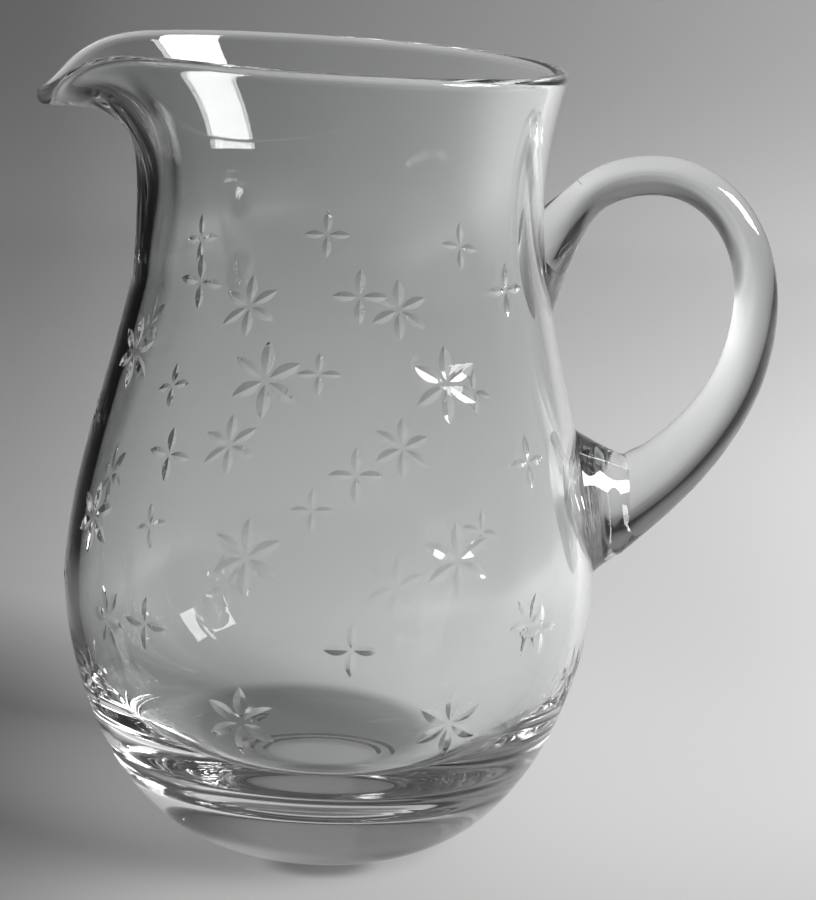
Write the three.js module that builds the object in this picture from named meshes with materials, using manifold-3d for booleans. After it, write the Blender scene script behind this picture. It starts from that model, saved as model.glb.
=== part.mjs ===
import * as THREE from 'three';
import { mergeVertices } from 'three/addons/utils/BufferGeometryUtils.js';
import Module from 'manifold-3d';

// A hand-blown clear glass jug with a pulled pouring lip and an applied loop handle.
// All sizes are in millimetres: heights are above the table, radii are from the vessel's axis.
// The handle points along +X and the lip along -X.

// Vessel
const rimHeight = 180;
const mouthRadius = 47.4;
const neckRadius = 43.4;
const neckHeight = 157;
const bellyRadius = 60.1;
const bellyHeight = 62;
const footRadius = 19.5;
const groundOff = 0.5;
const wall = 3.3;
const floorHeight = 19;

// Mouth: the rim is drawn out into a teardrop, rises towards the lip and dips at its tip
const lipPull = 21.2;
const lipSpread = 0.85;
const lipDrop = 10.3;
const lipWidth = 0.31;
const throatWidth = 0.95;
const lipThick = 4.4;
const rimRise = 1.3;
const pullHeight = 130;

// Handle
const padHeight = 79.8;
const padReach = 8.4;
const padTall = 35;
const padWide = 28.4;
const padWaist = 0.28;
const padWave = 0.8;
const rootThick = 18.2;
const rodThick = 9;
const loopReach = 34.4;
const loopHeight = 126.5;
const loopTop = 155.6;
const loopTopReach = 26.6;
const sealReach = 11.4;
const sealHeight = 150.6;
const sealTop = 144.5;
const sealTall = 22.5;
const sealWide = 17;

// Slit left between pieces that are fused together in the glass
const seam = 0.3;

// Smoothness of the mesh
const around = 64;
const rodSides = 22;

const { Manifold, Mesh } = await Module().then((wasm) => {
  wasm.setup();
  return wasm;
});

// Curve of the round bottom: 0 at the point that was ground off, 1 at the belly
function bowl(z) {
  return (1 - (1 - (z + groundOff) / (bellyHeight + groundOff)) ** 1.73) ** 0.405;
}

// Outer radius of the turned part of the vessel at a height
function wallRadius(z) {
  if (z <= bellyHeight) {
    const share = (bowl(Math.max(z, 0)) - bowl(0)) / (1 - bowl(0));
    return footRadius + (bellyRadius - footRadius) * share;
  }
  const up = Math.min((z - bellyHeight) / (neckHeight - bellyHeight), 1) ** 0.93;
  return bellyRadius - (bellyRadius - neckRadius) * up * up * (3 - 2 * up);
}

// Angles round the axis, counted from the lip and closest together there
const angles = [];
for (let i = 0; i < around; i += 1) {
  const u = (2 * i) / around - 1;
  angles.push(Math.PI * Math.sign(u) * Math.abs(u) ** 1.6);
}

function place(angle, radius, z) {
  return new THREE.Vector3(-radius * Math.cos(angle), -radius * Math.sin(angle), z);
}

// How much of the lip's beak an angle has: 1 at its tip, 0 away from it
function beakShare(angle) {
  const turn = Math.abs(Math.atan2(Math.sin(angle), Math.cos(angle)));
  return Math.exp(-((turn / lipWidth) ** 1.87));
}

// Thickness of the glass in the neck and lip
function neckThick(angle, share) {
  return wall + (lipThick - wall) * beakShare(angle) * share * share;
}

// Point on the outside of the neck and lip: share 0 is at pullHeight and share 1 at the rim
function neckPoint(angle, share) {
  const turn = Math.abs(Math.atan2(Math.sin(angle), Math.cos(angle)));
  const soft = Math.hypot(turn, 0.03);
  const beak = beakShare(angle);
  const throat = Math.exp(-((turn / throatWidth) ** 2));
  const half = neckThick(angle, 1) / 2;
  const rimRadius = mouthRadius + lipPull * Math.exp(-((soft / lipSpread) ** 1.05));
  const rimTop = rimHeight + rimRise * Math.cos(angle) - lipDrop * beak;
  const lean = THREE.MathUtils.degToRad(74 + 8 * Math.sin(angle) ** 2 - 75 * beak);
  const edge = new THREE.Vector2(
    rimRadius - half * (1 - Math.sin(lean)),
    rimTop - half * (1 + Math.cos(lean)),
  );
  const step = 0.5;
  const slope = (wallRadius(pullHeight + step) - wallRadius(pullHeight - step)) / (2 * step);
  const reach = rimHeight - pullHeight;
  const start = new THREE.Vector2(wallRadius(pullHeight), pullHeight);
  const rise = new THREE.Vector2(slope * (1 - 0.75 * throat), 1).normalize();
  const out = new THREE.Vector2(Math.cos(lean), Math.sin(lean));
  const curve = new THREE.CubicBezierCurve(
    start,
    start.clone().addScaledVector(rise, reach * (0.33 + 0.4 * throat)),
    edge.clone().addScaledVector(out, -reach * (0.33 + 0.05 * beak)),
    edge,
  );
  const at = curve.getPoint(share);
  return place(angle, at.x, at.y);
}

// Outward normal of the neck and lip
function neckNormal(angle, share) {
  const d = 0.004;
  const low = Math.max(share - d, 0);
  const high = Math.min(share + d, 1);
  const round = neckPoint(angle + d, share).sub(neckPoint(angle - d, share));
  const along = neckPoint(angle, high).sub(neckPoint(angle, low));
  return round.cross(along).normalize();
}

// Outside of the vessel from the foot's edge to the rim, moved outwards by offset
function outerRings(offset) {
  const rings = [];
  for (let k = 0; k <= 10; k += 1) {
    const z = bellyHeight * (k / 10) ** 2.2;
    const r = wallRadius(z) + offset;
    rings.push(angles.map((a) => place(a, r, k === 0 ? -offset : z)));
  }
  for (let k = 1; k <= 6; k += 1) {
    const z = bellyHeight + (pullHeight - bellyHeight) * (k / 6);
    rings.push(angles.map((a) => place(a, wallRadius(z) + offset, z)));
  }
  for (let k = 1; k <= 11; k += 1) {
    rings.push(angles.map((a) => neckPoint(a, k / 11).addScaledVector(neckNormal(a, k / 11), offset)));
  }
  return rings;
}

// Closed surface through rings of equal length, shut by a point at each end
function loft(first, rings, last) {
  const n = rings[0].length;
  const points = [first, ...rings.flat(), last];
  const faces = [];
  for (let i = 0; i < n; i += 1) {
    const j = (i + 1) % n;
    faces.push(0, 1 + j, 1 + i);
    for (let k = 0; k + 1 < rings.length; k += 1) {
      const a = 1 + k * n;
      const b = a + n;
      faces.push(a + i, a + j, b + j, a + i, b + j, b + i);
    }
    const end = 1 + (rings.length - 1) * n;
    faces.push(end + i, end + j, points.length - 1);
  }
  const geometry = new THREE.BufferGeometry().setFromPoints(points);
  geometry.setIndex(faces);
  return geometry;
}

function middle(ring) {
  const sum = new THREE.Vector3();
  ring.forEach((p) => sum.add(p));
  return sum.divideScalar(ring.length);
}

function toSolid(geometry) {
  return new Manifold(new Mesh({
    numProp: 3,
    vertProperties: new Float32Array(geometry.attributes.position.array),
    triVerts: new Uint32Array(geometry.index.array),
  }));
}

function toGeometry(solid) {
  const mesh = solid.getMesh();
  const geometry = new THREE.BufferGeometry();
  geometry.setAttribute('position', new THREE.BufferAttribute(new Float32Array(mesh.vertProperties), 3));
  geometry.setIndex(Array.from(mesh.triVerts));
  return geometry;
}

// Vessel: flat ground foot, outside, rounded rim, inside, thick floor
function bodyGeometry() {
  const rings = [];
  rings.push(angles.map((a) => place(a, footRadius / 2, 0)));
  rings.push(...outerRings(0));

  for (let k = 1; k <= 3; k += 1) {
    const bend = (Math.PI * k) / 4;
    rings.push(angles.map((a) => {
      const edge = neckPoint(a, 1);
      const normal = neckNormal(a, 1);
      const round = neckPoint(a + 0.004, 1).sub(neckPoint(a - 0.004, 1)).normalize();
      const over = normal.clone().cross(round).normalize();
      const half = neckThick(a, 1) / 2;
      const centre = edge.addScaledVector(normal, -half);
      centre.addScaledVector(normal, half * Math.cos(bend));
      return centre.addScaledVector(over, half * Math.sin(bend));
    }));
  }
  for (let k = 10; k >= 0; k -= 1) {
    const share = k / 10;
    rings.push(angles.map((a) => (
      neckPoint(a, share).addScaledVector(neckNormal(a, share), -neckThick(a, share))
    )));
  }
  const drop = rings[rings.length - 1][0].z;
  for (let k = 5; k >= 1; k -= 1) {
    const z = bellyHeight + (drop - bellyHeight) * (k / 6);
    const slope = (wallRadius(z + 0.5) - wallRadius(z - 0.5)) / 1;
    rings.push(angles.map((a) => place(a, wallRadius(z) - wall * Math.hypot(1, slope), z)));
  }
  for (let k = 10; k >= 1; k -= 1) {
    const share = Math.sin((k / 10) * (Math.PI / 2));
    const z = floorHeight + (bellyHeight - floorHeight) * (1 - Math.sqrt(1 - share ** 4.2));
    rings.push(angles.map((a) => place(a, (bellyRadius - wall) * share, z)));
  }
  return loft(new THREE.Vector3(0, 0, 0), rings, new THREE.Vector3(0, 0, floorHeight));
}

// Oval ring between an upper and a lower edge point of the handle's plane
function oval(upper, lower, wide) {
  const centre = upper.clone().add(lower).multiplyScalar(0.5);
  const half = upper.clone().sub(lower).multiplyScalar(0.5);
  const ring = [];
  for (let i = 0; i < rodSides; i += 1) {
    const a = (2 * Math.PI * i) / rodSides;
    const p = centre.clone().addScaledVector(half, Math.cos(a));
    p.y -= (wide / 2) * Math.sin(a);
    ring.push(p);
  }
  return ring;
}

// Block that takes away all of a rod's end beyond half a seam before a point, looking along way
function block(point, way) {
  const size = 2 * padTall;
  const geometry = new THREE.BoxGeometry(size, size, size);
  geometry.deleteAttribute('normal');
  geometry.deleteAttribute('uv');
  geometry.applyQuaternion(new THREE.Quaternion().setFromUnitVectors(new THREE.Vector3(1, 0, 0), way));
  const centre = point.clone().addScaledVector(way, size / 2 - seam / 2);
  geometry.translate(centre.x, centre.y, centre.z);
  return toSolid(mergeVertices(geometry));
}

// Solid glass through ovals that run outwards along the handle
function ovalSolid(ovals) {
  return toSolid(loft(middle(ovals[0]), ovals, middle(ovals[ovals.length - 1])));
}

// Line of the handle's rod, from the crease on the lower pad over the loop to the upper seal
const creaseX = wallRadius(padHeight) + padReach;
const rootAngle = THREE.MathUtils.degToRad(38);
const outX = bellyRadius + loopReach;
const topX = neckRadius + loopTopReach;
const sealX = neckRadius + sealReach;
const root = new THREE.Vector3(creaseX, 0, padHeight);
const outmost = new THREE.Vector3(outX, 0, loopHeight);
const top = new THREE.Vector3(topX, 0, loopTop);
const tip = new THREE.Vector3(sealX, 0, sealHeight);
const rootWay = new THREE.Vector3(Math.cos(rootAngle), 0, Math.sin(rootAngle));
const tipWay = new THREE.Vector3(-0.74, 0, -0.67).normalize();
const rodLine = new THREE.CurvePath();
rodLine.add(new THREE.CubicBezierCurve3(
  root,
  root.clone().addScaledVector(rootWay, 19),
  new THREE.Vector3(outX, 0, loopHeight - 21.5),
  outmost,
));
rodLine.add(new THREE.CubicBezierCurve3(
  outmost,
  new THREE.Vector3(outX, 0, loopHeight + 0.56 * (loopTop - loopHeight)),
  new THREE.Vector3(topX + 0.56 * (outX - topX), 0, loopTop),
  top,
));
rodLine.add(new THREE.CubicBezierCurve3(
  top,
  new THREE.Vector3(topX - 0.4 * (topX - sealX), 0, loopTop),
  tip.clone().addScaledVector(tipWay, -5),
  tip,
));

// The rod is thickest at its root and was drawn thinner towards the loop
function rodOval(centre, way, share) {
  const thick = rodThick + (rootThick - rodThick) * Math.max(1 - share, 0) ** 3.2;
  const side = new THREE.Vector3(-way.z, 0, way.x).multiplyScalar(thick / 2);
  return oval(centre.clone().add(side), centre.clone().sub(side), thick * 1.04);
}

const outer = outerRings(seam);
const bluff = toSolid(loft(new THREE.Vector3(0, 0, -seam), outer, middle(outer[outer.length - 1])));

// Handle rod, cut off square at the upright crease and at the seal
function handleGeometry() {
  const ovals = [rodOval(root.clone().addScaledVector(rootWay, -16), rootWay, 0)];
  const steps = 30;
  for (let k = 0; k <= steps; k += 1) {
    const share = k / steps;
    ovals.push(rodOval(rodLine.getPointAt(share), rodLine.getTangentAt(share), share));
  }
  ovals.push(rodOval(tip.clone().addScaledVector(tipWay, 4), tipWay, 1));
  const rod = ovalSolid(ovals)
    .subtract(block(root, new THREE.Vector3(-1, 0, 0)))
    .subtract(block(tip, tipWay));
  return toGeometry(rod);
}

// Lower pad: the hot gather that was stuck on the belly, flared like a trumpet towards the wall
// and nipped to a shallow waist before the crease
function lowerPadGeometry() {
  const tall = rootThick / 2 / Math.cos(rootAngle);
  const topZ = padHeight + padTall / 2;
  const lowZ = padHeight - padTall / 2;
  const ovals = [];
  for (let k = 0; k <= 8; k += 1) {
    const v = 1 - k / 8;
    const flare = v ** 1.25;
    const turn = (2 * Math.PI) / padWave;
    const waist = v - (0.38 * (Math.sin(turn * (v - padWaist)) + Math.sin(turn * padWaist))) / turn;
    const upper = new THREE.Vector3(
      THREE.MathUtils.lerp(creaseX, wallRadius(topZ) - wall, v),
      0,
      THREE.MathUtils.lerp(padHeight + tall, topZ + 2, flare),
    );
    const lower = new THREE.Vector3(
      THREE.MathUtils.lerp(creaseX, wallRadius(lowZ) - wall, v),
      0,
      THREE.MathUtils.lerp(padHeight - tall, lowZ - 2, flare),
    );
    ovals.push(oval(upper, lower, THREE.MathUtils.lerp(rootThick * 1.04, padWide + 2, waist)));
  }
  const pad = ovalSolid(ovals).trimByPlane([-1, 0, 0], seam / 2 - creaseX);
  return toGeometry(pad.subtract(bluff));
}

// Upper seal: the rod's end pressed on the neck, with a tail drawn down the wall
function upperSealGeometry() {
  const start = rodOval(tip, tipWay, 1);
  const upperStart = start[0].z > start[rodSides / 2].z ? start[0] : start[rodSides / 2];
  const lowerStart = start[0].z > start[rodSides / 2].z ? start[rodSides / 2] : start[0];
  const topZ = sealTop;
  const lowZ = sealTop - sealTall;
  const upperLine = new THREE.QuadraticBezierCurve3(
    upperStart,
    upperStart.clone().addScaledVector(tipWay, 7),
    new THREE.Vector3(wallRadius(topZ) - wall, 0, topZ),
  );
  const lowerLine = new THREE.QuadraticBezierCurve3(
    lowerStart,
    lowerStart.clone().addScaledVector(tipWay, 8),
    new THREE.Vector3(wallRadius(lowZ) - 1, 0, lowZ - 2),
  );
  const ovals = [];
  for (let k = 8; k >= 0; k -= 1) {
    const wide = THREE.MathUtils.lerp(rodThick * 1.04, sealWide, (k / 8) ** 2);
    ovals.push(oval(upperLine.getPoint(k / 8), lowerLine.getPoint(k / 8), wide));
  }
  const gap = tip.dot(tipWay) + seam / 2;
  const seal = ovalSolid(ovals).trimByPlane([tipWay.x, 0, tipWay.z], gap);
  return toGeometry(seal.subtract(bluff));
}

// Assembly, moved so that the origin is under the middle of its outline on the table
const group = new THREE.Group();
group.name = 'jug';
const glass = { roughness: 0.05, metalness: 0 };
const pieces = [
  ['body', bodyGeometry(), '#dfe6e8'],
  ['lower_pad', lowerPadGeometry(), '#c9d6da'],
  ['handle', handleGeometry(), '#d5dfe2'],
  ['upper_seal', upperSealGeometry(), '#c9d6da'],
];
for (const [name, geometry, color] of pieces) {
  const mesh = new THREE.Mesh(geometry, new THREE.MeshStandardMaterial({ color, ...glass }));
  mesh.name = name;
  group.add(mesh);
}
const box = new THREE.Box3().setFromObject(group, true);
const shift = -(box.min.x + box.max.x) / 2;
for (const mesh of group.children) {
  mesh.geometry.translate(shift, 0, 0);
  mesh.geometry.computeVertexNormals();
}

export default group;
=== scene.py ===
import math
import bmesh
import bpy
import numpy as np
from mathutils import Matrix, Vector


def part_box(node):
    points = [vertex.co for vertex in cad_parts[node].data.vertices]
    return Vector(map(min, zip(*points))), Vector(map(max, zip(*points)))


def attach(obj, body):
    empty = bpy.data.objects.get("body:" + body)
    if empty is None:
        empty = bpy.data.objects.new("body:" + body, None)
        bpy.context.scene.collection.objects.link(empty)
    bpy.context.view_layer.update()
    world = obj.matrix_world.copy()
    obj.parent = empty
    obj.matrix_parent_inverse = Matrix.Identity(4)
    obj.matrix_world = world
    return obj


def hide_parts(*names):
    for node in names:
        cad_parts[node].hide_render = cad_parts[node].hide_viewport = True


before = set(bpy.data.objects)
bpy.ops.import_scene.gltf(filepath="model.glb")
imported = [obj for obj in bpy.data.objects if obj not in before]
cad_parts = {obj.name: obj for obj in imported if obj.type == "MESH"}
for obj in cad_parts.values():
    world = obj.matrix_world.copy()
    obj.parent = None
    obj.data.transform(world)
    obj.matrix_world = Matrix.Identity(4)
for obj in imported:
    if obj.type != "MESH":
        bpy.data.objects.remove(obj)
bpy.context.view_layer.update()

# Blown vessel. One gather of clear soda-lime glass, blown to a pear shape with a thick base,
# cracked off, fire-polished at the mouth and pulled out into a lip while it was still soft.
# The round bottom is ground flat and polished where the pontil rod was cracked off.
rim_height = 180.0
mouth_radius = 47.4
neck_radius = 43.4
neck_height = 157.0
belly_radius = 60.1
belly_height = 62.0
foot_radius = 19.5
ground_off = 0.5
mark_radius = 13.0
mark_edge = 2.5
mark_deep = 0.7
wall = 3.3
floor_height = 19.0
lip_pull = 21.2
lip_spread = 0.85
lip_drop = 10.3
lip_width = 0.31
throat_width = 0.95
lip_thick = 4.4
rim_rise = 1.3
pull_height = 130.0
axis_x = 1000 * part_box("body")[1].x - belly_radius
vessel_around = 176


def wall_radius(z):
    z = np.asarray(z, float)
    bowl = [(1 - (1 - (h + ground_off) / (belly_height + ground_off)) ** 1.73) ** 0.405
            for h in (np.clip(z, 0, belly_height), 0)]
    under = foot_radius + (belly_radius - foot_radius) * (bowl[0] - bowl[1]) / (1 - bowl[1])
    up = np.clip((z - belly_height) / (neck_height - belly_height), 0, 1) ** 0.93
    over = belly_radius - (belly_radius - neck_radius) * up * up * (3 - 2 * up)
    return np.where(z <= belly_height, under, over)


def turned(angle, radius, z):
    radius, z = np.broadcast_arrays(radius, z)
    return np.stack([axis_x - radius * np.cos(angle), -radius * np.sin(angle), z + 0 * angle], -1)


def beak(angle):
    turn = np.abs(np.arctan2(np.sin(angle), np.cos(angle)))
    return np.exp(-((turn / lip_width) ** 1.87))


def neck_thick(angle, share):
    return wall + (lip_thick - wall) * beak(angle) * share * share


def neck_point(angle, share):
    angle, share = np.broadcast_arrays(angle, share)
    turn = np.abs(np.arctan2(np.sin(angle), np.cos(angle)))
    pulled = beak(angle)
    throat = np.exp(-((turn / throat_width) ** 2))
    half = neck_thick(angle, 1.0) / 2
    reach = rim_height - pull_height
    rim_radius = mouth_radius + lip_pull * np.exp(-((np.hypot(turn, 0.03) / lip_spread) ** 1.05))
    rim_top = rim_height + rim_rise * np.cos(angle) - lip_drop * pulled
    lean = np.radians(74 + 8 * np.sin(angle) ** 2 - 75 * pulled)
    edge_r = rim_radius - half * (1 - np.sin(lean))
    edge_z = rim_top - half * (1 + np.cos(lean))
    start_r = float(wall_radius(pull_height))
    slope = float(wall_radius(pull_height + 0.5) - wall_radius(pull_height - 0.5)) * (1 - 0.75 * throat)
    grip = reach * (0.33 + 0.4 * throat) / np.hypot(slope, 1)
    back = reach * (0.33 + 0.05 * pulled)
    a, b, c, d = (1 - share) ** 3, 3 * share * (1 - share) ** 2, 3 * share**2 * (1 - share), share**3
    r = a * start_r + b * (start_r + slope * grip) + c * (edge_r - np.cos(lean) * back) + d * edge_r
    z = a * pull_height + b * (pull_height + grip) + c * (edge_z - np.sin(lean) * back) + d * edge_z
    return turned(angle, r, z)


def unit(v):
    return v / np.linalg.norm(v, axis=-1, keepdims=True)


def neck_normal(angle, share):
    low, high = np.maximum(share - 0.004, 0), np.minimum(share + 0.004, 1)
    about = neck_point(angle + 0.004, share) - neck_point(angle - 0.004, share)
    along = neck_point(angle, high) - neck_point(angle, low)
    return unit(np.cross(about, along))


way = np.linspace(-1, 1, vessel_around, endpoint=False)
angles = np.pi * np.sign(way) * np.abs(way) ** 1.35


def outside(offset):
    low = belly_height * np.linspace(0, 1, 96) ** 2.2
    rings = [turned(angles, wall_radius(h) + offset, h if h > 0 else -offset) for h in low]
    rings += [turned(angles, wall_radius(h) + offset, h) for h in np.linspace(belly_height, pull_height, 36)[1:]]
    for share in np.linspace(0, 1, 56)[1:]:
        rings.append(neck_point(angles, share) + offset * neck_normal(angles, share))
    return rings


def loft(name, rings, first, last, first_slot=0, last_slot=0):
    n = len(rings[0])
    points = np.concatenate([[first], *rings, [last]]) / 1000
    faces, slots = [], []
    end = 1 + (len(rings) - 1) * n
    for i in range(n):
        j = (i + 1) % n
        faces += [(0, 1 + j, 1 + i), (end + i, end + j, len(points) - 1)]
        slots += [first_slot, last_slot]
    for k in range(len(rings) - 1):
        a, b = 1 + k * n, 1 + (k + 1) * n
        faces += [(a + i, a + (i + 1) % n, b + (i + 1) % n, b + i) for i in range(n)]
        slots += [0] * n
    mesh = bpy.data.meshes.new(name)
    mesh.from_pydata(points.tolist(), [], faces)
    mesh.polygons.foreach_set("material_index", slots)
    made = bpy.data.objects.new(name, mesh)
    bpy.context.scene.collection.objects.link(made)
    return made


def ground_mark(r):
    steps = [np.clip((end - r) / mark_edge, 0, 1) for end in (mark_radius + mark_edge, foot_radius - 0.2)]
    return mark_deep * sum(share * share * (3 - 2 * share) for share in steps)


mark_rings = [4.0, 9.0, *np.linspace(mark_radius, foot_radius, 24, endpoint=False)]
vessel_rings = [turned(angles, r, ground_mark(r)) for r in mark_rings] + outside(0)
rim_edge, rim_normal = neck_point(angles, 1.0), neck_normal(angles, 1.0)
rim_about = unit(neck_point(angles + 0.004, 1.0) - neck_point(angles - 0.004, 1.0))
rim_over = unit(np.cross(rim_normal, rim_about))
rim_half = (neck_thick(angles, 1.0) / 2)[:, None]
for bend in np.linspace(0, np.pi, 12)[1:-1]:
    vessel_rings.append(rim_edge + rim_half * (rim_normal * (np.cos(bend) - 1) + rim_over * np.sin(bend)))
for share in np.linspace(1, 0, 56):
    vessel_rings.append(neck_point(angles, share) - neck_thick(angles, share)[:, None] * neck_normal(angles, share))
for h in np.linspace(vessel_rings[-1][0][2], belly_height, 36)[1:-1]:
    lean = float(wall_radius(h + 0.5) - wall_radius(h - 0.5))
    vessel_rings.append(turned(angles, wall_radius(h) - wall * math.hypot(1, lean), h))
for s in np.sin(np.linspace(np.pi / 2, 0, 50, endpoint=False)):
    h = floor_height + (belly_height - floor_height) * (1 - math.sqrt(max(1 - s**4.2, 0)))
    vessel_rings.append(turned(angles, (belly_radius - wall) * s, h))
vessel = loft("vessel", vessel_rings, (axis_x, 0, ground_mark(0)), (axis_x, 0, floor_height))


def linear(code):
    parts = [int(code[i:i + 2], 16) / 255 for i in (1, 3, 5)]
    return [p / 12.92 if p <= 0.04045 else ((p + 0.055) / 1.055) ** 2.4 for p in parts] + [1.0]


def add(tree, kind, values=None, **settings):
    made = tree.nodes.new(kind)
    for key, value in settings.items():
        setattr(made, key, value)
    for key, value in (values or {}).items():
        if isinstance(value, bpy.types.NodeSocket):
            tree.links.new(value, made.inputs[key])
        else:
            made.inputs[key].default_value = value
    return made


def clear_glass(name, tint, roughness, wave_mm, wave_height_mm):
    # Soda-lime glass, fire-polished: colourless, mirror-smooth, faintly uneven from the blowing iron.
    # Light that only casts a shadow passes straight through, weakest at a slant.
    material = bpy.data.materials.new(name)
    material.use_nodes = True
    tree = material.node_tree
    tree.nodes.clear()
    place = add(tree, "ShaderNodeTexCoord")
    waves = add(tree, "ShaderNodeTexNoise", {
        "Vector": place.outputs["Object"], "Scale": 1000 / wave_mm, "Detail": 1.0})
    uneven = add(tree, "ShaderNodeBump", {
        "Strength": 1.0, "Distance": wave_height_mm / 1000, "Height": waves.outputs[0]})
    glass = add(tree, "ShaderNodeBsdfPrincipled", {
        "Base Color": linear(tint), "Roughness": roughness, "IOR": 1.52,
        "Transmission Weight": 1.0, "Normal": uneven.outputs[0]})
    path = add(tree, "ShaderNodeLightPath")
    height = add(tree, "ShaderNodeSeparateXYZ", {0: place.outputs["Object"]})
    edge = add(tree, "ShaderNodeMapRange", {
        "Value": height.outputs[2], "From Min": 0.02, "From Max": 0.065, "To Min": 0.85, "To Max": 0.05})
    straight = add(tree, "ShaderNodeMapRange", {
        "Value": height.outputs[2], "From Min": 0.02, "From Max": 0.07, "To Min": 0.94, "To Max": 0.83})
    slant = add(tree, "ShaderNodeLayerWeight", {"Blend": 0.5})
    loss = add(tree, "ShaderNodeMapRange", {
        "Value": slant.outputs["Facing"], "From Min": 0.2, "From Max": 0.95, "To Min": straight.outputs[0],
        "To Max": edge.outputs[0]})
    through = add(tree, "ShaderNodeBsdfTransparent", {"Color": loss.outputs[0]})
    either = add(tree, "ShaderNodeMixShader", {
        0: path.outputs["Is Shadow Ray"], 1: glass.outputs[0], 2: through.outputs[0]})
    add(tree, "ShaderNodeOutputMaterial", {"Surface": either.outputs[0]})
    return material


vessel_glass = clear_glass("blown_clear_glass", "#fbfcfc", 0.0, 26.0, 0.02)

# Where two gathers are melted together there is no surface left between them.
melted = bpy.data.materials.new("melted_together")
melted.use_nodes = True
melted.node_tree.nodes.clear()
nothing = add(melted.node_tree, "ShaderNodeBsdfTransparent")
add(melted.node_tree, "ShaderNodeOutputMaterial", {"Surface": nothing.outputs[0]})

# Wheel-cut ornament on the outside of the vessel: small pointed olive cuts, ground with a V-edged
# stone and polished, in staggered rows of six-petalled rosettes and four-pointed stars.
cut_facet = clear_glass("wheel_cut_facet", "#f8f9f9", 0.05, 1.2, 0.004)
cut_wall = loft("cut_wall", outside(0), (axis_x, 0, 0), (axis_x, 0, rim_height))
cut_wall.data.shade_smooth()

petals = bpy.data.node_groups.new("olive_cuts", "GeometryNodeTree")
face = petals.interface
face.new_socket("Geometry", in_out="OUTPUT", socket_type="NodeSocketGeometry")
face.new_socket("Geometry", in_out="INPUT", socket_type="NodeSocketGeometry")
face.new_socket("Wall", in_out="INPUT", socket_type="NodeSocketObject")
face.new_socket("Petals", in_out="INPUT", socket_type="NodeSocketInt")
for size in ("Ring radius", "Petal length", "Petal width", "Cut depth", "Stone clearance"):
    face.new_socket(size, in_out="INPUT", socket_type="NodeSocketFloat")
face.new_socket("Facet", in_out="INPUT", socket_type="NodeSocketMaterial")
sizes = add(petals, "NodeGroupInput").outputs
blank = add(petals, "GeometryNodeMeshCube", {
    "Size": (2.0, 2.0, 2.0), "Vertices X": 11, "Vertices Y": 3, "Vertices Z": 2})
spot = add(petals, "ShaderNodeSeparateXYZ", {0: add(petals, "GeometryNodeInputPosition").outputs[0]})
square = add(petals, "ShaderNodeMath", {0: spot.outputs[0], 1: spot.outputs[0]}, operation="MULTIPLY")
bulge = add(petals, "ShaderNodeMath", {0: 1.0, 1: square.outputs[0]}, operation="SUBTRACT")
stone = add(petals, "ShaderNodeMath", {0: sizes["Cut depth"], 1: sizes["Stone clearance"]})
grow = add(petals, "ShaderNodeMath", {0: stone.outputs[0], 1: sizes["Cut depth"]}, operation="DIVIDE")
longer = add(petals, "ShaderNodeMath", {0: grow.outputs[0]}, operation="SQRT")
half_long = add(petals, "ShaderNodeMath", {0: sizes["Petal length"], 1: longer.outputs[0]}, operation="MULTIPLY")
half_wide = add(petals, "ShaderNodeMath", {0: sizes["Petal width"], 1: grow.outputs[0]}, operation="MULTIPLY")
half_wide = add(petals, "ShaderNodeMath", {0: half_wide.outputs[0], 1: bulge.outputs[0]}, operation="MULTIPLY")
along_x = add(petals, "ShaderNodeMath", {0: spot.outputs[0], 1: half_long.outputs[0]}, operation="MULTIPLY")
along_x = add(petals, "ShaderNodeMath", {0: along_x.outputs[0], 1: 0.5}, operation="MULTIPLY")
across_y = add(petals, "ShaderNodeMath", {0: spot.outputs[1], 1: half_wide.outputs[0]}, operation="MULTIPLY")
across_y = add(petals, "ShaderNodeMath", {0: across_y.outputs[0], 1: 0.5}, operation="MULTIPLY")
side = add(petals, "ShaderNodeMath", {0: spot.outputs[1]}, operation="ABSOLUTE")
keel = add(petals, "ShaderNodeMath", {0: 1.0, 1: side.outputs[0]}, operation="SUBTRACT")
below = add(petals, "ShaderNodeMath", {0: spot.outputs[2], 1: 0.0}, operation="LESS_THAN")
sunk = add(petals, "ShaderNodeMath", {0: keel.outputs[0], 1: below.outputs[0]}, operation="MULTIPLY")
sunk = add(petals, "ShaderNodeMath", {0: sunk.outputs[0], 1: bulge.outputs[0]}, operation="MULTIPLY")
sunk = add(petals, "ShaderNodeMath", {0: sunk.outputs[0], 1: stone.outputs[0]}, operation="MULTIPLY")
height = add(petals, "ShaderNodeMath", {0: sizes["Stone clearance"], 1: sunk.outputs[0]}, operation="SUBTRACT")
shape = add(petals, "ShaderNodeCombineXYZ", {0: along_x.outputs[0], 1: across_y.outputs[0], 2: height.outputs[0]})
petal = add(petals, "GeometryNodeSetPosition", {"Geometry": blank.outputs[0], "Position": shape.outputs[0]})
petal = add(petals, "GeometryNodeMergeByDistance", {"Geometry": petal.outputs[0], "Distance": 1e-6})
placed = add(petals, "ShaderNodeSeparateXYZ", {0: add(petals, "GeometryNodeInputPosition").outputs[0]})
petal = add(petals, "GeometryNodeStoreNamedAttribute", {
    "Geometry": petal.outputs[0], "Name": "cut_height", "Value": placed.outputs[2]}, data_type="FLOAT")
flat = add(petals, "ShaderNodeCombineXYZ", {0: placed.outputs[0], 1: placed.outputs[1], 2: 0.0})
petal = add(petals, "GeometryNodeSetPosition", {"Geometry": petal.outputs[0], "Position": flat.outputs[0]})
circle = add(petals, "GeometryNodeMeshCircle", {"Vertices": sizes["Petals"], "Radius": sizes["Ring radius"]})
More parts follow.
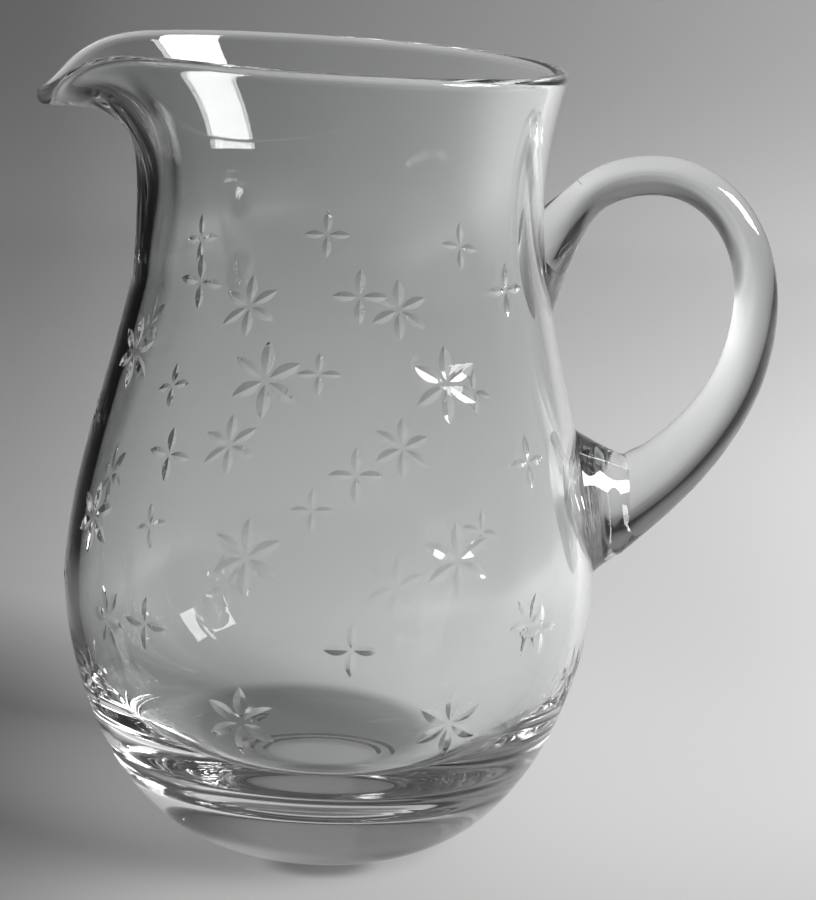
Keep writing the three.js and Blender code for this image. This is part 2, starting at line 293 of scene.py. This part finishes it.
outward = add(petals, "FunctionNodeAlignRotationToVector", {
    "Vector": add(petals, "GeometryNodeInputPosition").outputs[0]}, axis="X", pivot_axis="Z")
motif = add(petals, "GeometryNodeInstanceOnPoints", {
    "Points": circle.outputs[0], "Instance": petal.outputs[0], "Rotation": outward.outputs[0]})
ware = add(petals, "GeometryNodeObjectInfo", {"Object": sizes["Wall"]})
ware_normal = add(petals, "GeometryNodeSampleNearestSurface", {
    "Mesh": ware.outputs["Geometry"], "Value": add(petals, "GeometryNodeInputNormal").outputs[0]},
    data_type="FLOAT_VECTOR")
facing = add(petals, "FunctionNodeAlignRotationToVector", {"Vector": ware_normal.outputs[0]}, axis="Z")
facing = add(petals, "FunctionNodeAlignRotationToVector", {
    "Rotation": facing.outputs[0], "Vector": (0.0, 0.0, 1.0)}, axis="X", pivot_axis="Z")
rows = add(petals, "GeometryNodeInstanceOnPoints", {
    "Points": sizes["Geometry"], "Instance": motif.outputs[0], "Rotation": facing.outputs[0]})
rows = add(petals, "GeometryNodeRealizeInstances", {"Geometry": rows.outputs[0]})
nearest = add(petals, "GeometryNodeProximity", {0: ware.outputs["Geometry"]}, target_element="FACES")
deep = add(petals, "GeometryNodeInputNamedAttribute", {"Name": "cut_height"}, data_type="FLOAT")
lift = add(petals, "ShaderNodeVectorMath", {0: ware_normal.outputs[0], "Scale": deep.outputs[0]}, operation="SCALE")
laid = add(petals, "ShaderNodeVectorMath", {0: nearest.outputs[0], 1: lift.outputs[0]})
rows = add(petals, "GeometryNodeSetPosition", {"Geometry": rows.outputs[0], "Position": laid.outputs[0]})
rows = add(petals, "GeometryNodeSetMaterial", {"Geometry": rows.outputs[0], "Material": sizes["Facet"]})
add(petals, "NodeGroupOutput", {0: rows.outputs[0]})


def finished(piece):
    made = bpy.data.meshes.new_from_object(piece.evaluated_get(bpy.context.evaluated_depsgraph_get()))
    piece.modifiers.clear()
    piece.data = made
    return piece


def cut_away(piece, tool):
    cut = piece.modifiers.new("cut", "BOOLEAN")
    cut.operation, cut.solver, cut.object, cut.material_mode = "DIFFERENCE", "MANIFOLD", tool, "INDEX"
    return finished(piece)


def set_to_work(piece, group, given):
    nodes = piece.modifiers.new(group.name, "NODES")
    nodes.node_group = group
    for item in group.interface.items_tree:
        if item.in_out == "INPUT" and item.name in given:
            nodes[item.identifier] = given[item.name]


def cuts(name, spots, count, ring, long, wide, deep_mm):
    mesh = bpy.data.meshes.new(name)
    mesh.from_pydata([turned(np.radians(a), wall_radius(h), h) / 1000 for a, h in spots], [], [])
    made = bpy.data.objects.new(name, mesh)
    bpy.context.scene.collection.objects.link(made)
    set_to_work(made, petals, {
        "Wall": cut_wall, "Petals": count, "Ring radius": ring / 1000, "Petal length": long / 1000,
        "Petal width": wide / 1000, "Cut depth": deep_mm / 1000, "Stone clearance": 0.0003, "Facet": cut_facet})
    return finished(made)


rosette_rows = ((116.0, 0.0), (80.0, 0.0), (44.0, 0.0))
star_rows = ((134.0, 0.5), (98.0, 0.5), (62.0, 0.5))
across_row = 8
first_turn = 22.5
rosettes = [(360 * (i + turn) / across_row + first_turn, h) for h, turn in rosette_rows for i in range(across_row)]
stars = [(360 * (i + turn) / across_row + first_turn, h) for h, turn in star_rows for i in range(across_row)]
under_handle = [s for s in rosettes + stars if s[1] > 50 and abs(s[0] - 180) < 24]
rosettes = [s for s in rosettes if s not in under_handle]
stars = [s for s in stars if s not in under_handle]
rosette_tool = cuts("rosette_tool", rosettes, 6, 4.6, 7.4, 2.9, 0.3)
star_tool = cuts("star_tool", stars, 4, 3.2, 5.4, 2.2, 0.26)
for tool in (rosette_tool, star_tool):
    tool.data.polygons.foreach_set("material_index", [2] * len(tool.data.polygons))
for finish in (vessel_glass, melted, cut_facet):
    vessel.data.materials.append(finish)
cut_away(vessel, rosette_tool)
cut_away(vessel, star_tool)
for tool in (rosette_tool, star_tool, cut_wall):
    bpy.data.objects.remove(tool)

# Lower pad of the handle: a hot gather of the same glass, stuck on the belly so that it flares
# like a trumpet against the wall, and nipped to an upright crease where the rod begins.
pad_height = 79.8
pad_reach = 8.4
pad_tall = 35.0
pad_wide = 28.4
pad_waist = 0.28
pad_wave = 0.8
root_thick = 18.2
root_angle = math.radians(38)
crease_x = float(wall_radius(pad_height)) + pad_reach
rod_sides = 64
handle_glass = clear_glass("drawn_clear_glass", "#fbfcfc", 0.0, 9.0, 0.012)
melt_tool = loft("melt_tool", outside(-0.03), (axis_x, 0, 0.03), (axis_x, 0, rim_height - 0.03))
melt_tool.data.polygons.foreach_set("material_index", [1] * len(melt_tool.data.polygons))


def oval(upper, lower, wide):
    turn = np.linspace(0, 2 * np.pi, rod_sides, endpoint=False)[:, None]
    upper = np.array([upper[0] + axis_x, 0, upper[1]])
    lower = np.array([lower[0] + axis_x, 0, lower[1]])
    return (upper + lower) / 2 + (upper - lower) / 2 * np.cos(turn) - np.array([0, wide / 2, 0]) * np.sin(turn)


def melt_on(piece):
    for finish in (handle_glass, melted):
        piece.data.materials.append(finish)
    cut_away(piece, melt_tool)
    cut_away(vessel, piece)


def polish(piece, facet=-1):
    shell = bmesh.new()
    shell.from_mesh(piece.data)
    for edge in shell.edges:
        ends = [f.material_index for f in edge.link_faces]
        limit = 4 if ends == [facet, facet] else 21
        edge.smooth = len(set(ends)) == 1 and math.degrees(edge.calc_face_angle(0)) < limit
    for polygon in shell.faces:
        polygon.smooth = True
    shell.to_mesh(piece.data)
    shell.free()


pad_top, pad_low = pad_height + pad_tall / 2, pad_height - pad_tall / 2
pad_half = root_thick / 2 / math.cos(root_angle)
pad_rings = []
for v in np.linspace(1, 0, 28):
    flare = v**1.25
    turn = 2 * math.pi / pad_wave
    waist = v - 0.38 * (math.sin(turn * (v - pad_waist)) + math.sin(turn * pad_waist)) / turn
    upper = (crease_x + (float(wall_radius(pad_top)) - wall - crease_x) * v,
             pad_height + pad_half + (pad_tall / 2 + 2 - pad_half) * flare)
    lower = (crease_x + (float(wall_radius(pad_low)) - wall - crease_x) * v,
             pad_height - pad_half - (pad_tall / 2 + 2 - pad_half) * flare)
    pad_rings.append(oval(upper, lower, root_thick * 1.04 + (pad_wide + 2 - root_thick * 1.04) * waist))
lower_pad = loft("lower_gather", pad_rings, pad_rings[0].mean(0), pad_rings[-1].mean(0), 0, 1)
melt_on(lower_pad)
polish(lower_pad)
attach(lower_pad, "root")
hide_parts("lower_pad")

# Handle rod: solid glass drawn out of the lower gather by hand, thick at its root and thinner in
# the loop, bent over while hot and round in section.
rod_thick = 9.0
loop_reach = 34.4
loop_height = 126.5
loop_top = 155.6
loop_top_reach = 26.6
seal_reach = 11.4
seal_height = 150.6
out_x, top_x, seal_x = belly_radius + loop_reach, neck_radius + loop_top_reach, neck_radius + seal_reach
tip_way = np.array([-0.74, -0.67]) / math.hypot(0.74, 0.67)
root_way = np.array([math.cos(root_angle), math.sin(root_angle)])
root_end, out_end = np.array([crease_x, pad_height]), np.array([out_x, loop_height])
top_end, tip_end = np.array([top_x, loop_top]), np.array([seal_x, seal_height])
bends = (
    (root_end, root_end + root_way * 19, (out_x, loop_height - 21.5), out_end),
    (out_end, (out_x, loop_height + 0.56 * (loop_top - loop_height)),
     (top_x + 0.56 * (out_x - top_x), loop_top), top_end),
    (top_end, (top_x - 0.4 * (top_x - seal_x), loop_top), tip_end - tip_way * 5, tip_end),
)
rod_line = bpy.data.curves.new("rod", "CURVE")
rod_line.dimensions = "3D"
drawn = rod_line.splines.new("BEZIER")
drawn.bezier_points.add(len(bends))
drawn.resolution_u = 48
for knot in drawn.bezier_points:
    knot.handle_left_type = knot.handle_right_type = "FREE"
for i, bend in enumerate(bends):
    start, leave, arrive, stop = [((p[0] + axis_x) / 1000, 0, p[1] / 1000) for p in bend]
    drawn.bezier_points[i].co = start
    drawn.bezier_points[i].handle_right = leave
    drawn.bezier_points[i + 1].handle_left = arrive
    drawn.bezier_points[i + 1].co = stop

draw_rod = bpy.data.node_groups.new("drawn_rod", "GeometryNodeTree")
face = draw_rod.interface
face.new_socket("Geometry", in_out="OUTPUT", socket_type="NodeSocketGeometry")
face.new_socket("Geometry", in_out="INPUT", socket_type="NodeSocketGeometry")
face.new_socket("Sides", in_out="INPUT", socket_type="NodeSocketInt")
for size in ("Root thickness", "Rod thickness", "Taper", "Flatness", "Crease lean", "Crease fade"):
    face.new_socket(size, in_out="INPUT", socket_type="NodeSocketFloat")
face.new_socket("Glass", in_out="INPUT", socket_type="NodeSocketMaterial")
sizes = add(draw_rod, "NodeGroupInput").outputs
line = add(draw_rod, "GeometryNodeResampleCurve", {"Curve": sizes["Geometry"], "Count": 150})
share = add(draw_rod, "GeometryNodeSplineParameter")
middle = add(draw_rod, "GeometryNodeInputPosition")
heading = add(draw_rod, "GeometryNodeInputTangent")
kept = (("rod_share", "FLOAT", share.outputs[0]), ("rod_middle", "FLOAT_VECTOR", middle.outputs[0]),
        ("rod_heading", "FLOAT_VECTOR", heading.outputs[0]))
for label, kind, socket in kept:
    line = add(draw_rod, "GeometryNodeStoreNamedAttribute", {
        "Geometry": line.outputs[0], "Name": label, "Value": socket}, data_type=kind)
left = add(draw_rod, "ShaderNodeMath", {0: 1.0, 1: share.outputs[0]}, operation="SUBTRACT")
taper = add(draw_rod, "ShaderNodeMath", {0: left.outputs[0], 1: sizes["Taper"]}, operation="POWER")
extra = add(draw_rod, "ShaderNodeMath", {0: sizes["Root thickness"], 1: sizes["Rod thickness"]}, operation="SUBTRACT")
thick = add(draw_rod, "ShaderNodeMath", {0: extra.outputs[0], 1: taper.outputs[0]}, operation="MULTIPLY")
thick = add(draw_rod, "ShaderNodeMath", {0: thick.outputs[0], 1: sizes["Rod thickness"]})
thick = add(draw_rod, "ShaderNodeMath", {0: thick.outputs[0], 1: 0.5}, operation="MULTIPLY")
ring = add(draw_rod, "GeometryNodeCurvePrimitiveCircle", {"Resolution": sizes["Sides"], "Radius": 1.0})
tube = add(draw_rod, "GeometryNodeCurveToMesh", {
    "Curve": line.outputs[0], "Profile Curve": ring.outputs[0], "Scale": thick.outputs[0], "Fill Caps": True})
at = add(draw_rod, "GeometryNodeInputPosition").outputs[0]
core = add(draw_rod, "GeometryNodeInputNamedAttribute", {"Name": "rod_middle"}, data_type="FLOAT_VECTOR")
course = add(draw_rod, "GeometryNodeInputNamedAttribute", {"Name": "rod_heading"}, data_type="FLOAT_VECTOR")
passed = add(draw_rod, "GeometryNodeInputNamedAttribute", {"Name": "rod_share"}, data_type="FLOAT")
arm = add(draw_rod, "ShaderNodeVectorMath", {0: at, 1: core.outputs[0]}, operation="SUBTRACT")
upward = add(draw_rod, "ShaderNodeVectorMath", {0: course.outputs[0], 1: (0.0, 1.0, 0.0)}, operation="CROSS_PRODUCT")
rise = add(draw_rod, "ShaderNodeVectorMath", {0: arm.outputs[0], 1: upward.outputs[0]}, operation="DOT_PRODUCT")
fade = add(draw_rod, "ShaderNodeMapRange", {
    "Value": passed.outputs[0], "From Min": 0.0, "From Max": sizes["Crease fade"],
    "To Min": sizes["Crease lean"], "To Max": 0.0}, interpolation_type="SMOOTHSTEP")
slide = add(draw_rod, "ShaderNodeMath", {0: rise.outputs["Value"], 1: fade.outputs[0]}, operation="MULTIPLY")
slant = add(draw_rod, "ShaderNodeVectorMath", {0: course.outputs[0], "Scale": slide.outputs[0]}, operation="SCALE")
wide = add(draw_rod, "ShaderNodeVectorMath", {0: arm.outputs[0], 1: (0.0, 1.0, 0.0)}, operation="MULTIPLY")
wide = add(draw_rod, "ShaderNodeVectorMath", {0: wide.outputs[0], "Scale": sizes["Flatness"]}, operation="SCALE")
move = add(draw_rod, "ShaderNodeVectorMath", {0: slant.outputs[0], 1: wide.outputs[0]})
tube = add(draw_rod, "GeometryNodeSetPosition", {"Geometry": tube.outputs[0], "Offset": move.outputs[0]})
tube = add(draw_rod, "GeometryNodeRealizeInstances", {"Geometry": tube.outputs[0]})
tube = add(draw_rod, "GeometryNodeSetMaterial", {"Geometry": tube.outputs[0], "Material": sizes["Glass"]})
add(draw_rod, "NodeGroupOutput", {0: tube.outputs[0]})
drawn_rod = bpy.data.objects.new("drawn_rod_line", rod_line)
bpy.context.scene.collection.objects.link(drawn_rod)
set_to_work(drawn_rod, draw_rod, {
    "Sides": rod_sides, "Root thickness": root_thick / 1000, "Rod thickness": rod_thick / 1000, "Taper": 3.2,
    "Flatness": 0.04, "Crease lean": math.tan(root_angle), "Crease fade": 0.14, "Glass": handle_glass})
rod_mesh = bpy.data.meshes.new_from_object(drawn_rod.evaluated_get(bpy.context.evaluated_depsgraph_get()))
bpy.data.objects.remove(drawn_rod)
rod = bpy.data.objects.new("handle_rod", rod_mesh)
bpy.context.scene.collection.objects.link(rod)
rod_mesh.materials.append(melted)
for polygon in rod_mesh.polygons:
    if len(polygon.vertices) > 4:
        polygon.material_index = 1
polish(rod)
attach(rod, "root")
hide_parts("handle")

# Upper seal: the far end of the rod, pressed on the neck while soft, with a thin tail of glass
# drawn down the wall under it.
seal_top = 144.5
seal_tall = 22.5
seal_wide = 17.0
seal_low = seal_top - seal_tall
rod_side = np.array([-tip_way[1], tip_way[0]]) * rod_thick / 2
seal_ends = sorted((tip_end + rod_side, tip_end - rod_side), key=lambda p: p[1])
over_line = (seal_ends[1], seal_ends[1] + 7 * tip_way,
             np.array([float(wall_radius(seal_top)) - wall, seal_top]))
under_line = (seal_ends[0], seal_ends[0] + 8 * tip_way,
              np.array([float(wall_radius(seal_low)) - 1, seal_low - 2]))
seal_rings = []
for v in np.linspace(1, 0, 28):
    upper, lower = [(1 - v) ** 2 * p + 2 * v * (1 - v) * q + v * v * r for p, q, r in (over_line, under_line)]
    seal_rings.append(oval(upper, lower, rod_thick * 1.04 + (seal_wide - rod_thick * 1.04) * v * v))
upper_seal = loft("upper_seal_glass", seal_rings, seal_rings[0].mean(0), seal_rings[-1].mean(0), 0, 1)
melt_on(upper_seal)
polish(upper_seal)
bpy.data.objects.remove(melt_tool)
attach(upper_seal, "root")
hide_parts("upper_seal")

polish(vessel, facet=2)
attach(vessel, "root")
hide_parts("body")

# Stage: a round sweep of matt paper, lit softly from the front right. The window is what the glass mirrors,
# the room light is its glow. Shade on the paper is painted into its colour: pale round the pitcher, painted
# darker to the left, in the far left corner, up its wall, towards the camera and at the far right, with a
# painted shadow pool under and behind the glass, standing in for the light its round underside bends away,
# and a painted contact shadow at the front of the foot.
sweep_floor = 0.9
sweep_bend = 0.6
sweep_top = 1.6
paper_level = -0.0002
sweep_around = 96
lines = [(sweep_floor * s, paper_level) for s in (0.2, 0.5, 0.8, 1.0)]
lines += [(sweep_floor + sweep_bend * math.sin(t), sweep_bend * (1 - math.cos(t)) + paper_level)
          for t in np.linspace(0, math.pi / 2, 16)[1:]]
lines += [(sweep_floor + sweep_bend, h) for h in np.linspace(sweep_bend, sweep_top, 6)[1:]]
sweep_points = [(0, 0, paper_level)]
sweep_faces = []
for k, (r, h) in enumerate(lines):
    for i in range(sweep_around):
        a = 2 * math.pi * i / sweep_around
        sweep_points.append((r * math.cos(a), r * math.sin(a), h))
        j = (i + 1) % sweep_around
        if k == 0:
            sweep_faces.append((0, 1 + i, 1 + j))
        else:
            a0, b0 = 1 + (k - 1) * sweep_around, 1 + k * sweep_around
            sweep_faces.append((a0 + i, b0 + i, b0 + j, a0 + j))
sweep_mesh = bpy.data.meshes.new("paper_sweep")
sweep_mesh.from_pydata(sweep_points, [], sweep_faces)
sweep = bpy.data.objects.new("paper_sweep", sweep_mesh)
bpy.context.scene.collection.objects.link(sweep)
sweep_mesh.shade_smooth()
paper = bpy.data.materials.new("matt_paper_painted_shade")
paper.use_nodes = True
tree = paper.node_tree
tree.nodes.clear()
place = add(tree, "ShaderNodeTexCoord").outputs["Object"]
to_right, to_back, upward = add(tree, "ShaderNodeSeparateXYZ", {0: place}).outputs[:3]


def reckon(kind, *values):
    return add(tree, "ShaderNodeMath", dict(enumerate(values)), operation=kind).outputs[0]


def fade(value, start, end, low, high):
    return add(tree, "ShaderNodeMapRange", {
        "Value": value, "From Min": start, "From Max": end, "To Min": low, "To Max": high},
        interpolation_type="SMOOTHSTEP").outputs[0]


def round_spot(x, y, half_x, half_y):
    spot = add(tree, "ShaderNodeVectorMath", {
        0: place, 1: (1 / half_x, 1 / half_y, 0.0), 2: (-x / half_x, -y / half_y, 0.0)}, operation="MULTIPLY_ADD")
    return add(tree, "ShaderNodeVectorMath", {0: spot.outputs[0]}, operation="LENGTH").outputs[1]


# Painted shade: the paper darkens to the left along the floor, stays even across up the wall, and is a little lighter
# behind the glass than in front.
between = add(tree, "ShaderNodeClamp", {0: to_right, 1: -0.55, 2: 0.6}).outputs[0]
left_to_right = reckon("EXPONENT", reckon("MULTIPLY", between, fade(upward, 0.15, 0.45, 1.85, 0.0)))
shade = reckon("MULTIPLY", left_to_right, fade(to_back, -0.08, 0.12, 0.495, 0.56))
# Painted shade: the wall darkens to half its tone as it rises.
up_the_wall = reckon("EXPONENT", reckon("MULTIPLY", upward, -22.0))
# Painted shade: a dark far left corner for the glass to mirror, on the floor and low on the wall.
left_back = reckon("MULTIPLY_ADD", to_back, 0.03, to_right)
left_edge = fade(left_back, -0.165, -0.1, fade(upward, 0.15, 0.3, 0.9, 0.0), 0.0)
painted_dark_corner = reckon("MULTIPLY", left_edge, fade(to_back, 0.1, 0.3, 0.0, 1.0))
# Painted shadow to the left of the glass, deepest level with it and fading towards the camera.
painted_left_shadow = fade(to_back, 0.1, 0.2, fade(to_back, -0.5, -0.12, 1.0, 0.55), 0.86)
# Depth of the painted shadow pool: none within 9 mm of the axis, under the ground disc, half tone from 18 mm out.
painted_pool_depth = fade(round_spot(axis_x / 1000, 0.0, 1.0, 1.0), 0.009, 0.018, 1.0, 0.5)
# Painted shade factors that multiply the paper's tone: towards the camera, up the wall, in the far left corner,
# beside the glass, at the far right, and the painted shadows.
painted_shades = {
    "near floor": fade(to_back, -0.3, 0.03, 0.3, 1.0),
    "far floor": fade(to_back, 0.3, 0.75, 1.0, 0.97),
    "wall": reckon("MULTIPLY_ADD", up_the_wall, 0.5, 0.5),
    "top of the wall": fade(upward, 0.1, 0.6, 1.0, 1.15),
    "far left corner": reckon("SUBTRACT", 1.0, painted_dark_corner),
    "left of the glass": fade(to_right, -0.11, -0.045, painted_left_shadow, 1.0),
    "right of the glass": fade(to_right, 0.02, 0.13, 1.0, fade(to_back, 0.1, 0.45, 0.86, 1.0)),
    "far right": fade(to_right, 0.28, 1.0, 1.0, 0.4),
    # Painted shadow pool under and behind the glass, and a painted contact shadow at the front of the foot.
    "pool of shade": fade(round_spot(-0.017, 0.027, 0.03, 0.045), 0.85, 1.15, painted_pool_depth, 1.0),
    "shade at the foot": fade(round_spot(-0.017, -0.021, 0.013, 0.009), 0.5, 1.15, 0.5, 1.0),
}
for grey in painted_shades.values():
    shade = reckon("MULTIPLY", shade, grey)
shade = add(tree, "ShaderNodeClamp", {0: shade, 1: 0.01, 2: 0.95})
# The paper's tone runs from black to #f4f4f4 by the painted shade.
tones = add(tree, "ShaderNodeMix", {"Factor": shade.outputs[0]}, data_type="RGBA")
tones.inputs[6].default_value = linear("#000000")
tones.inputs[7].default_value = linear("#f4f4f4")
matt = add(tree, "ShaderNodeBsdfPrincipled", {
    "Base Color": tones.outputs[2], "Roughness": 0.95, "Specular IOR Level": 0.1})
add(tree, "ShaderNodeOutputMaterial", {"Surface": matt.outputs[0]})
sweep_mesh.materials.append(paper)

window = bpy.data.lights.new("window", "AREA")
window.shape, window.size, window.size_y, window.energy = "RECTANGLE", 0.573, 0.45, 15.0
window_lamp = bpy.data.objects.new("window", window)
bpy.context.scene.collection.objects.link(window_lamp)
window_lamp.location = (0.987, -0.419, 0.65)
facing_glass = Vector((-0.016, 0, 0.65)) - window_lamp.location
window_lamp.rotation_euler = facing_glass.to_track_quat("-Z", "Y").to_euler()
window_lamp.visible_camera = window_lamp.visible_diffuse = False

soft = bpy.data.lights.new("room_light", "AREA")
soft.size, soft.energy = 0.75, 44.0
soft_lamp = bpy.data.objects.new("room_light", soft)
bpy.context.scene.collection.objects.link(soft_lamp)
soft_lamp.location = (0.957, -0.697, 0.742)
soft_lamp.rotation_euler = (-soft_lamp.location).to_track_quat("-Z", "Y").to_euler()
soft_lamp.visible_camera = soft_lamp.visible_glossy = soft_lamp.visible_transmission = False

sky = bpy.data.worlds.new("room")
bpy.context.scene.world = sky
sky.use_nodes = True
sky.node_tree.nodes.clear()
# Through the glass the ceiling above the paper is dark.
room_path = add(sky.node_tree, "ShaderNodeLightPath")
ceiling = add(sky.node_tree, "ShaderNodeMapRange", {
    "Value": room_path.outputs["Is Transmission Ray"], "To Min": 0.35, "To Max": 0.02})
room = add(sky.node_tree, "ShaderNodeBackground", {"Color": linear("#b0b0b0"), "Strength": ceiling.outputs[0]})
add(sky.node_tree, "ShaderNodeOutputWorld", {"Surface": room.outputs[0]})

# Camera at the photograph's place: a little above the rim, turned slightly towards the handle.
lens = bpy.data.cameras.new("camera")
lens.sensor_width = 36.0
lens.lens = 113.2
camera = bpy.data.objects.new("camera", lens)
bpy.context.scene.collection.objects.link(camera)
camera.matrix_world = (Matrix.Translation((-0.07015, -0.62143, 0.2330))
                       @ Matrix.Rotation(math.radians(-6.527), 4, "Z")
                       @ Matrix.Rotation(math.radians(77.239), 4, "X")
                       @ Matrix.Rotation(math.radians(2.714), 4, "Z"))
bpy.context.scene.camera = camera

bpy.context.scene.view_settings.view_transform = "Standard"

# Light runs down inside the wall from the rim, so many inner reflections are followed.
inner_reflections = 56
tracing = bpy.context.scene.cycles
tracing.caustics_refractive = False
tracing.max_bounces = tracing.transmission_bounces = tracing.glossy_bounces = inner_reflections
tracing.transparent_max_bounces = 24
